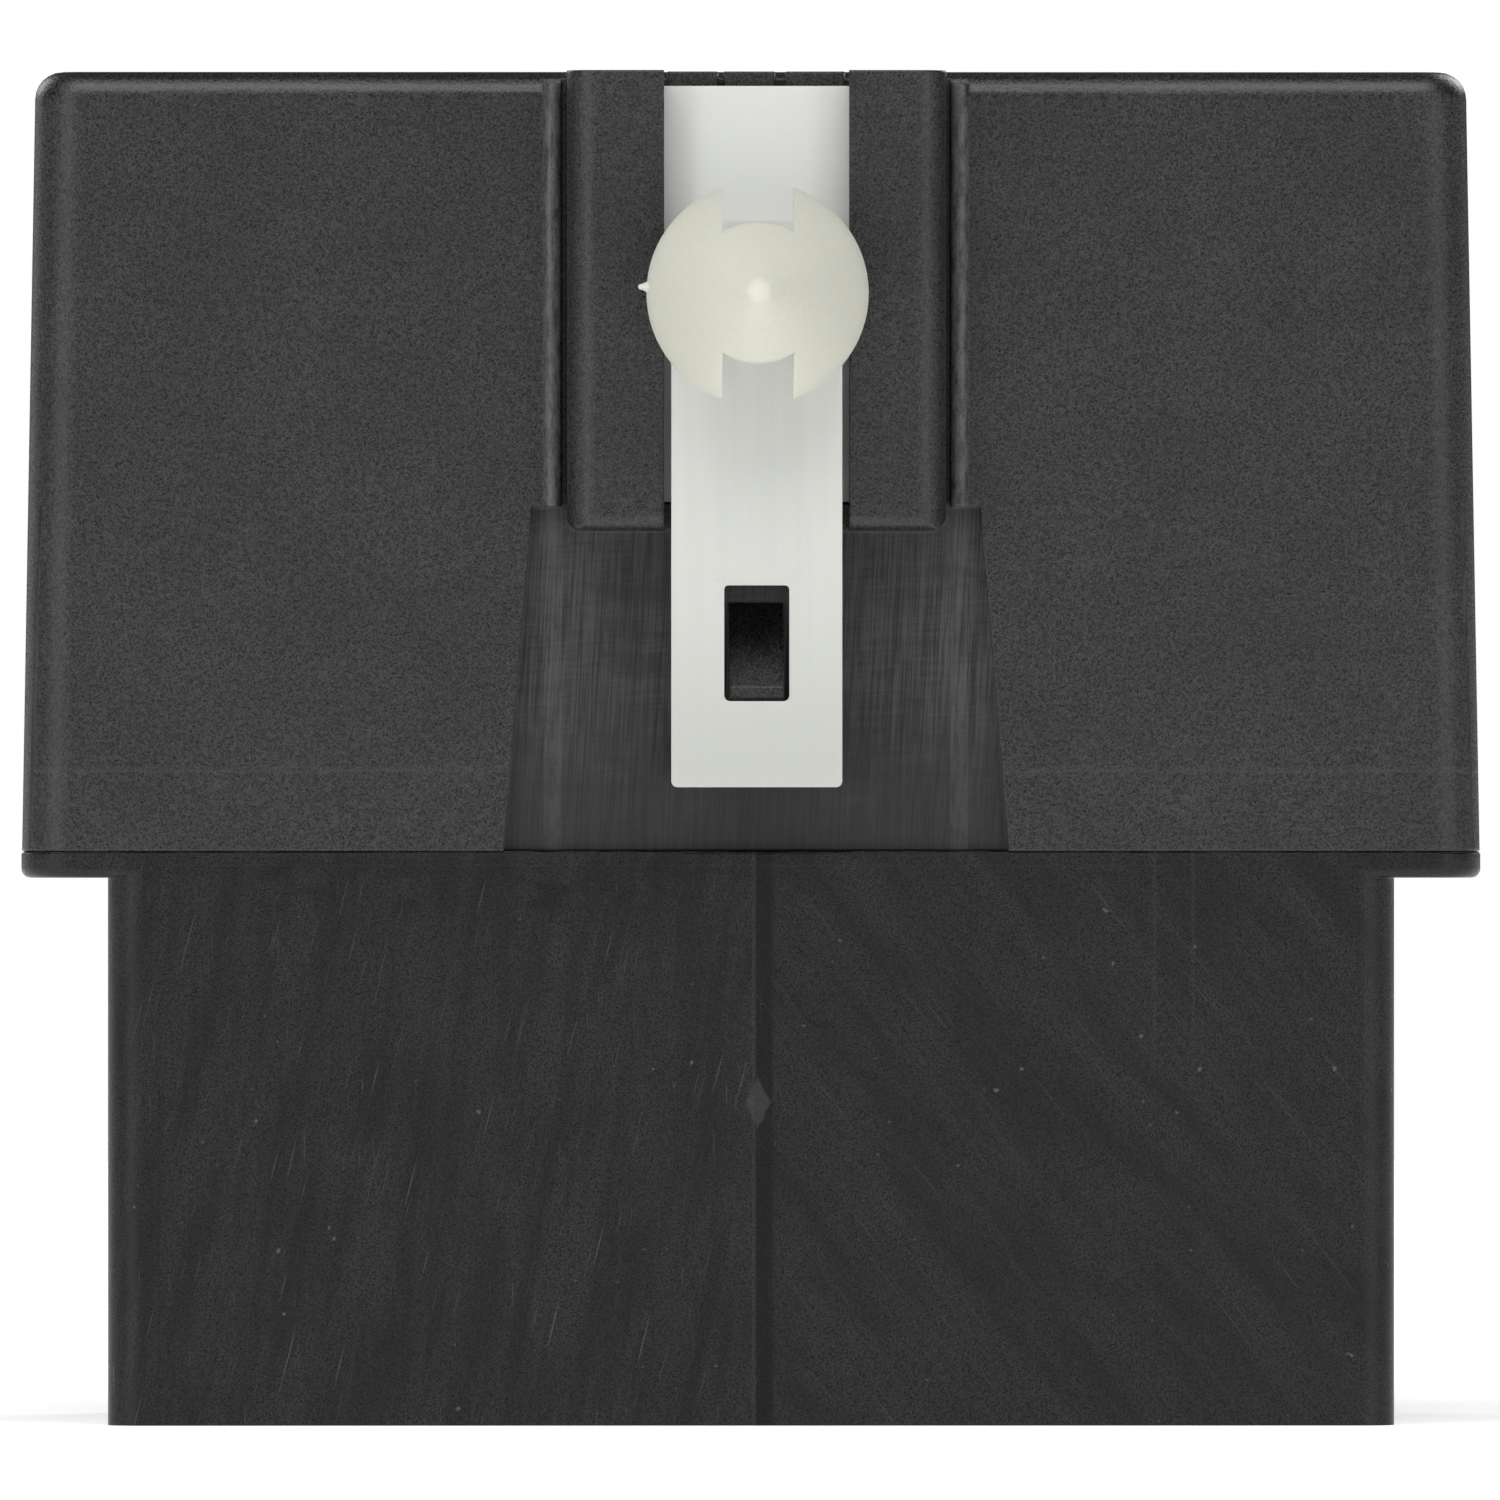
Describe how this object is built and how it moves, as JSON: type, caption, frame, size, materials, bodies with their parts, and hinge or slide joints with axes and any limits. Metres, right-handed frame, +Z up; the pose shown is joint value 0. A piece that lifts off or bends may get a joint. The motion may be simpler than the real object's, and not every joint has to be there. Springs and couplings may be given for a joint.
{
  "type": "plug-in relay",
  "caption": "Boxed changeover relay with blade terminals in a deep connector shroud, and a push-in panel clip held in a track on the cover's front.",
  "frame": {"origin": "centre of the relay's footprint, clip pin included, at the shroud's rim", "axes": "+Z up from the open shroud to the cover's top, +X along the long side to the right seen from the clip, -Y to the front where the clip's pin points"},
  "size_m": [0.048, 0.0356, 0.0445],
  "materials": {
    "black_cover": "fine spark-eroded grain, polished track recess",
    "black_base": "smooth with fine moulding scratches",
    "nylon": "natural white nylon, satin",
    "bobbin_plastic": "glass-filled, satin",
    "copper_wire": "enamelled copper, glossy",
    "soft_iron": "dull zinc plated, rolled",
    "tinned_brass": "tin plated brass, stamped",
    "spring_bronze": "rolled bronze",
    "silver_alloy": "silver alloy, satin",
    "spring_steel": "drawn steel wire",
    "braid_copper": "bare woven copper",
    "resistor_body": "lacquered ceramic",
    "tinned_wire": "tinned wire",
    "solder": "satin solder"
  },
  "bodies": {
    "base": {"base_housing": "black_base", "bobbin": "bobbin_plastic", "coil_winding": "copper_wire", "coil_leads": "copper_wire", "core": "soft_iron", "yoke": "soft_iron", "no_contact": "silver_alloy", "nc_contact": "silver_alloy", "no_terminal": "tinned_brass", "nc_terminal": "tinned_brass", "common_terminal": "tinned_brass", "coil_terminal_a": "tinned_brass", "coil_terminal_b": "tinned_brass", "return_spring": "spring_steel", "suppression_resistor": "resistor_body", "resistor_leads": "tinned_wire", "contact_braid": "braid_copper", "solder_joints": "solder"},
    "cover": {"cover": "black_cover", "retainer_clip": "nylon"},
    "tongue": {"clip_tongue": "nylon"},
    "armature": {"armature": "soft_iron", "contact_spring": "spring_bronze", "armature_rivets": "tinned_brass", "moving_contact": "silver_alloy"}
  },
  "joints": [
    {"name": "armature_pull_in", "type": "hinge", "parent": "base", "child": "armature", "pos_m": [0.00145, 0.00332, 0.0378], "axis": [0, 1, 0], "range_deg": [0, 5.2], "stiffness_Nm_per_rad": 0.02, "springref_deg": -17.19, "deforming": ["return_spring", "contact_braid"]},
    {"name": "tongue_release", "type": "hinge", "parent": "cover", "child": "tongue", "pos_m": [0.00015, -0.01063, 0.0294], "axis": [-1, 0, 0], "range_deg": [0, 12], "stiffness_Nm_per_rad": 0.02, "springref_deg": -2.86},
    {"name": "cover_lift", "type": "slide", "parent": "base", "child": "cover", "axis": [0, 0, 1], "range_m": [0, 0.03]}
  ]
}
